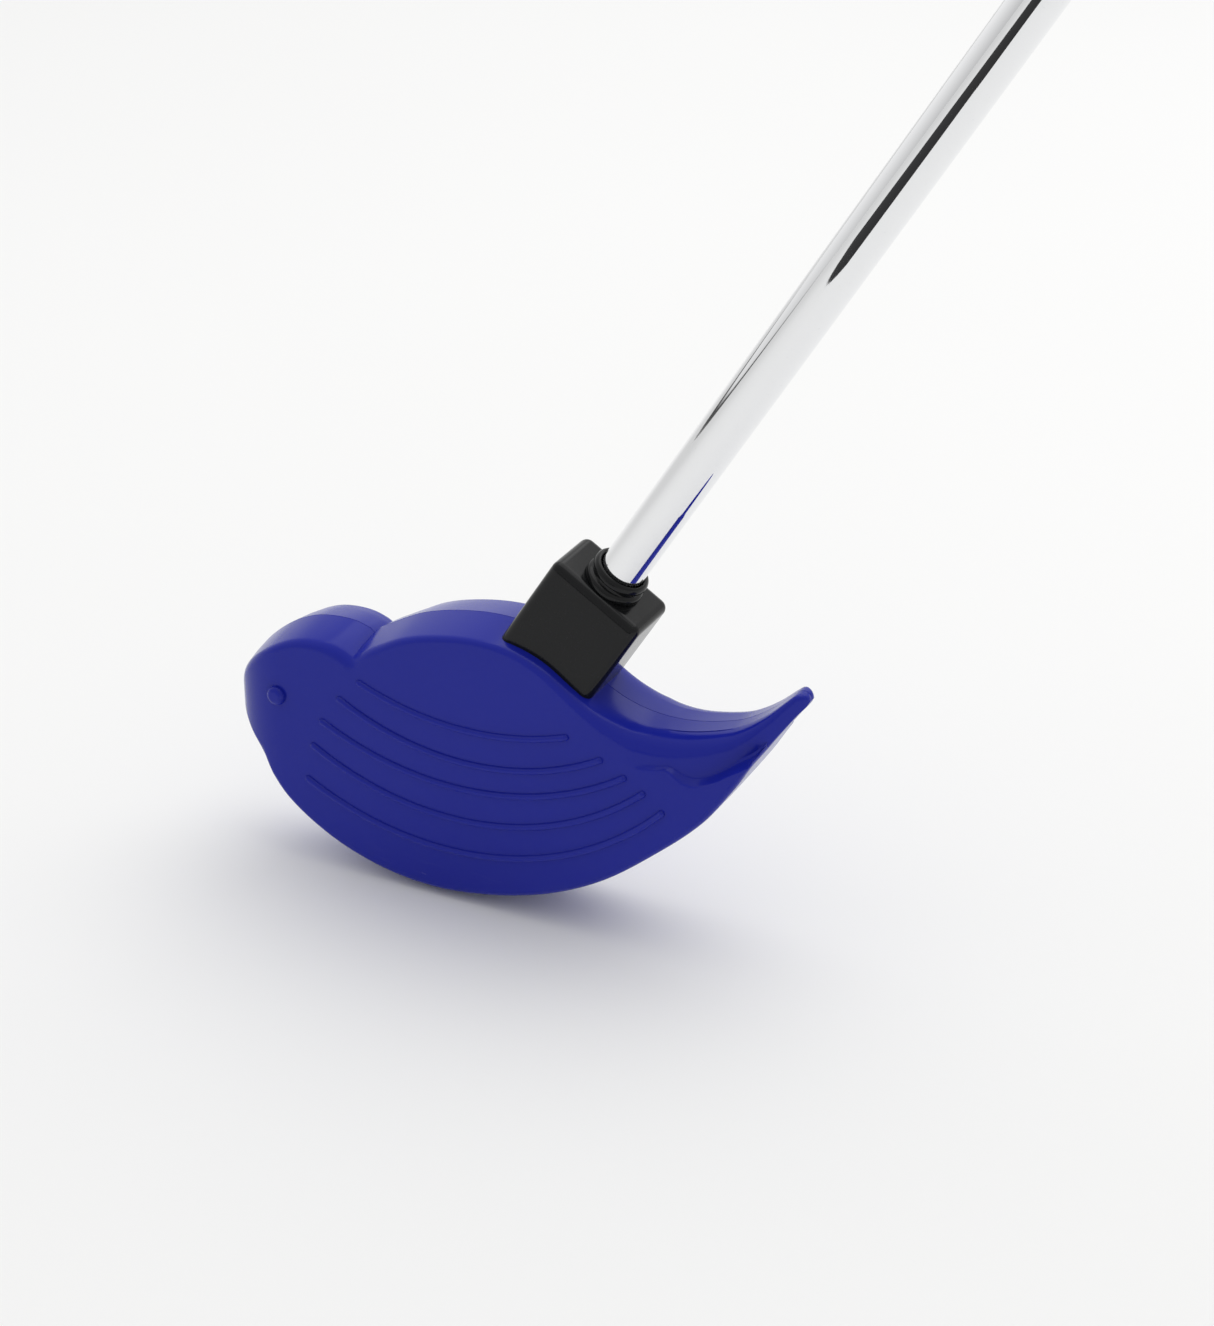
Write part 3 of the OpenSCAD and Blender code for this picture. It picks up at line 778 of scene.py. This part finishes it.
# %% Black plastic
def black_plastic():
    made = Finish("black_gloss_plastic", {"IOR": 1.45, "Specular IOR Level": 0.28})
    peel = made.noise(420, 2)
    dust = made.ramp(made.noise(1900, 3), 0.66, 0.78)
    hairs = made.ramp(made.noise(1200, 2, made.place((0.06, 1, 1), (0.3, 0.9, 0.4))), 0.68, 0.76)
    made.set("Base Color", made.blend(0.5 * dust, rgb(0.0058, 0.0062, 0.0068), rgb(0.03, 0.03, 0.032)))
    made.set("Roughness", 0.13 + 0.05 * peel + 0.18 * dust + 0.12 * hairs)
    made.bump(peel - 0.4 * hairs, 0.000012, 0.5)
    return made


BLACK = black_plastic()
for piece, node in ((block, "socket_block"), (ferrule, "ferrule")):
    paint(piece, BLACK)
    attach(piece, "root")
    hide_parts(node)

# %% [markdown]
# ## Chrome, rubber and the hidden materials
# Chrome plate is a mirror: its colour is what stands round it. Only a trace of polishing haze, stretched along the
# shaft, keeps it from looking like glass. The rubber is matt with a dusty grain. The bar, pin, plug and tape inside
# keep their measured solids and get their own finishes, so they look right when the club is taken apart.

# %% Chrome and rubber
ALONG_SHAFT = (0, -LEAN, 0)


def chrome():
    made = Finish("chrome_plate", {"Metallic": 1.0})
    haze = made.noise(700, 3, made.place((1, 1, 0.04), ALONG_SHAFT))
    specks = made.ramp(made.noise(1500, 2), 0.7, 0.8)
    made.set("Base Color", made.blend(0.3 * specks, rgb(0.86, 0.865, 0.875), rgb(0.62, 0.63, 0.65)))
    made.set("Roughness", 0.02 + 0.02 * made.ramp(haze, 0.35, 0.75) + 0.08 * specks)
    made.bump(haze, 0.000004, 0.25)
    return made


def rubber():
    made = Finish("grip_rubber", {"IOR": 1.5, "Specular IOR Level": 0.35})
    grain = made.noise(1400, 4)
    rub = made.ramp(made.noise(60, 3), 0.4, 0.75)
    made.set("Base Color", made.blend(rub, rgb(0.018, 0.018, 0.019), rgb(0.034, 0.034, 0.035)))
    made.set("Roughness", 0.62 + 0.15 * grain + 0.08 * rub)
    made.bump(grain, 0.00012, 0.6)
    return made


CHROME, RUBBER = chrome(), rubber()
for piece, finish, slot, node in ((shaft, CHROME, "shaft_chrome", "shaft_tube"),
                                  (grip, RUBBER, "grip_rubber", "grip_sleeve"),
                                  (cap, RUBBER, "grip_rubber", "grip_cap")):
    paint(piece, finish)
    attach(piece, "root")
    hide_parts(node)

# %% [markdown]
# ## Steel, plug and tape
# The bar and pin are drawn steel, with fine lines and a little rust. The plug is a pale plastic, and the tape is a
# paper strip wound round the tube, so its seam runs round and round.

# %% Finishes of the pieces inside
def drawn_steel():
    made = Finish("drawn_steel", {"Metallic": 1.0})
    lines = made.noise(900, 3, made.place((0.05, 1, 1)))
    rust = made.ramp(made.noise(120, 4), 0.62, 0.78)
    made.set("Base Color", made.blend(rust, rgb(0.42, 0.42, 0.44), rgb(0.20, 0.15, 0.12)))
    made.set("Roughness", 0.32 + 0.2 * lines + 0.25 * rust)
    made.bump(lines, 0.00003, 0.6)
    return made


def plain_plastic():
    made = Finish("plug_plastic", {"IOR": 1.5})
    grain = made.noise(1100, 3)
    made.set("Base Color", made.blend(made.noise(150, 3), rgb(0.62, 0.58, 0.42), rgb(0.74, 0.70, 0.55)))
    made.set("Roughness", 0.5 + 0.2 * grain)
    made.bump(grain, 0.00005, 0.5)
    return made


def paper_tape():
    made = Finish("grip_tape", {"IOR": 1.45})
    fibre = made.noise(1600, 4, made.place((1, 1, 0.2), ALONG_SHAFT))
    wrap = made.node("TexWave", {"wave_type": "BANDS", "bands_direction": "Z"},
                     {"Vector": made.place((1, 1, 1), ALONG_SHAFT), "Scale": 16, "Distortion": 0.4, "Detail": 1})
    seam = made.ramp(wrap, 0.93, 1.0)
    made.set("Base Color", made.blend(0.5 * seam + 0.3 * fibre, rgb(0.80, 0.77, 0.66), rgb(0.52, 0.47, 0.36)))
    made.set("Roughness", 0.7 + 0.2 * fibre)
    made.bump(fibre - seam, 0.00008, 0.7)
    return made


STEEL, PLUG, TAPE = drawn_steel(), plain_plastic(), paper_tape()
for node, finish in (("ballast_bar", STEEL), ("cross_pin", STEEL), ("tip_plug", PLUG), ("grip_tape", TAPE)):
    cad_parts[node].data.materials.clear()
    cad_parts[node].data.materials.append(finish.material)
print("finishes:", len(bpy.data.materials))

# %% [markdown]
# ## Floor
# The club rests on a wide white sheet with no gloss.

# %% Floor
FLOOR_Z = cad_box[0][2]
bpy.ops.object.select_all(action="DESELECT")
bpy.ops.mesh.primitive_plane_add(size=40, location=(0, 0, FLOOR_Z))
floor = bpy.context.object
floor.name = "floor"
sheet = Finish("white_floor", {"Roughness": 0.9, "Specular IOR Level": 0.0})
cloud = sheet.noise(3, 2)
sheet.set("Base Color", sheet.blend(cloud, rgb(0.88, 0.88, 0.875), rgb(0.90, 0.90, 0.895)))
floor.data.materials.append(sheet.material)

# %% [markdown]
# ## Lamp and room
# A broad lamp overhead and a little behind lays the soft shadow in front of the belly. The room itself is brighter
# behind and above than in front, so the upward walls of the head stand out from its face. On the left, a thin dark
# gap at the height of the horizon draws a fine line along the chrome.

# %% Lamp and the room's light
def lamp(name, place, target, size, power, size_y=None):
    bpy.ops.object.select_all(action="DESELECT")
    bpy.ops.object.light_add(type="AREA", location=place)
    made = bpy.context.object
    made.name = name
    made.data.shape = "RECTANGLE"
    made.data.size, made.data.size_y = size, size_y or size
    made.data.energy = power
    made.rotation_euler = (Vector(target) - Vector(place)).to_track_quat("-Z", "Y").to_euler()
    return made


lamp("overhead", (0.16, 0.5, 1.2), (-0.02, 0, -0.05), 1.5, 6.8)
world = bpy.data.worlds.new("room")
bpy.context.scene.world = world
world.use_nodes = True
room = Finish("room", {}, world.node_tree)
way = room.node("TexCoord", out="Generated")


def facing(x, y, z):
    """How far the direction looked in agrees with this one."""
    return room.node("VectorMath", {"operation": "DOT_PRODUCT"}, {0: way, 1: (x, y, z)}, out="Value")


FRONT_LIGHT, BACK_LIGHT, GAP_DARK = 0.58, 0.42, 0.9
back = room.ramp(facing(-0.35, 0.75, 0.56), -0.3, 0.9)
height = facing(0, 0, 1)
gap = room.ramp(height, -0.02, 0.0) * (1 - room.ramp(height, 0.006, 0.014)) * room.ramp(facing(-1, 0, 0), 0.9, 0.96)
strength = (FRONT_LIGHT + BACK_LIGHT * back) * (1 - GAP_DARK * gap)
background = world.node_tree.nodes["Background"]
room.feed(background.inputs["Color"], rgb(1, 1, 1))
room.feed(background.inputs["Strength"], strength)

# %% [markdown]
# ## A dark card
# Polished tube needs something dark to mirror, or it looks like white plastic. A dark card lies on the floor in
# front, set off to one side and turned, so it draws a black streak along the upper part of the shaft only. Lamps
# and matt surfaces don't see it, and neither does the camera.

# %% A dark card for the chrome to mirror
CARD_AT, CARD_SIZE, CARD_TURN = (0.097, -0.80), (0.62, 0.9), radians(41.8)
bpy.ops.object.select_all(action="DESELECT")
bpy.ops.mesh.primitive_plane_add(size=1, location=(*CARD_AT, FLOOR_Z + MM))
card = bpy.context.object
card.name = "dark_card"
card.rotation_euler = (0, 0, CARD_TURN)
card.scale = (*CARD_SIZE, 1)
settle(card)
felt = Finish("black_felt", {"Base Color": rgb(0.01, 0.01, 0.011), "Roughness": 0.9})
card.data.materials.append(felt.material)
card.visible_camera = card.visible_diffuse = card.visible_shadow = False

# %% [markdown]
# ## Camera
# The camera looks down at the front face from the tail's side of square, with a longish lens.

# %% Camera
AZIMUTH, ELEVATION = radians(26.711), radians(27.239)
bpy.ops.object.camera_add(location=(0.25075, -0.50112, 0.27037), rotation=(pi / 2 - ELEVATION, 0, AZIMUTH))
camera = bpy.context.object
camera.data.sensor_fit = "VERTICAL"
camera.data.sensor_height = 36
camera.data.lens = 84.16
camera.data.clip_start, camera.data.clip_end = 0.01, 50
bpy.context.scene.camera = camera
bpy.context.scene.view_settings.view_transform = "Standard"
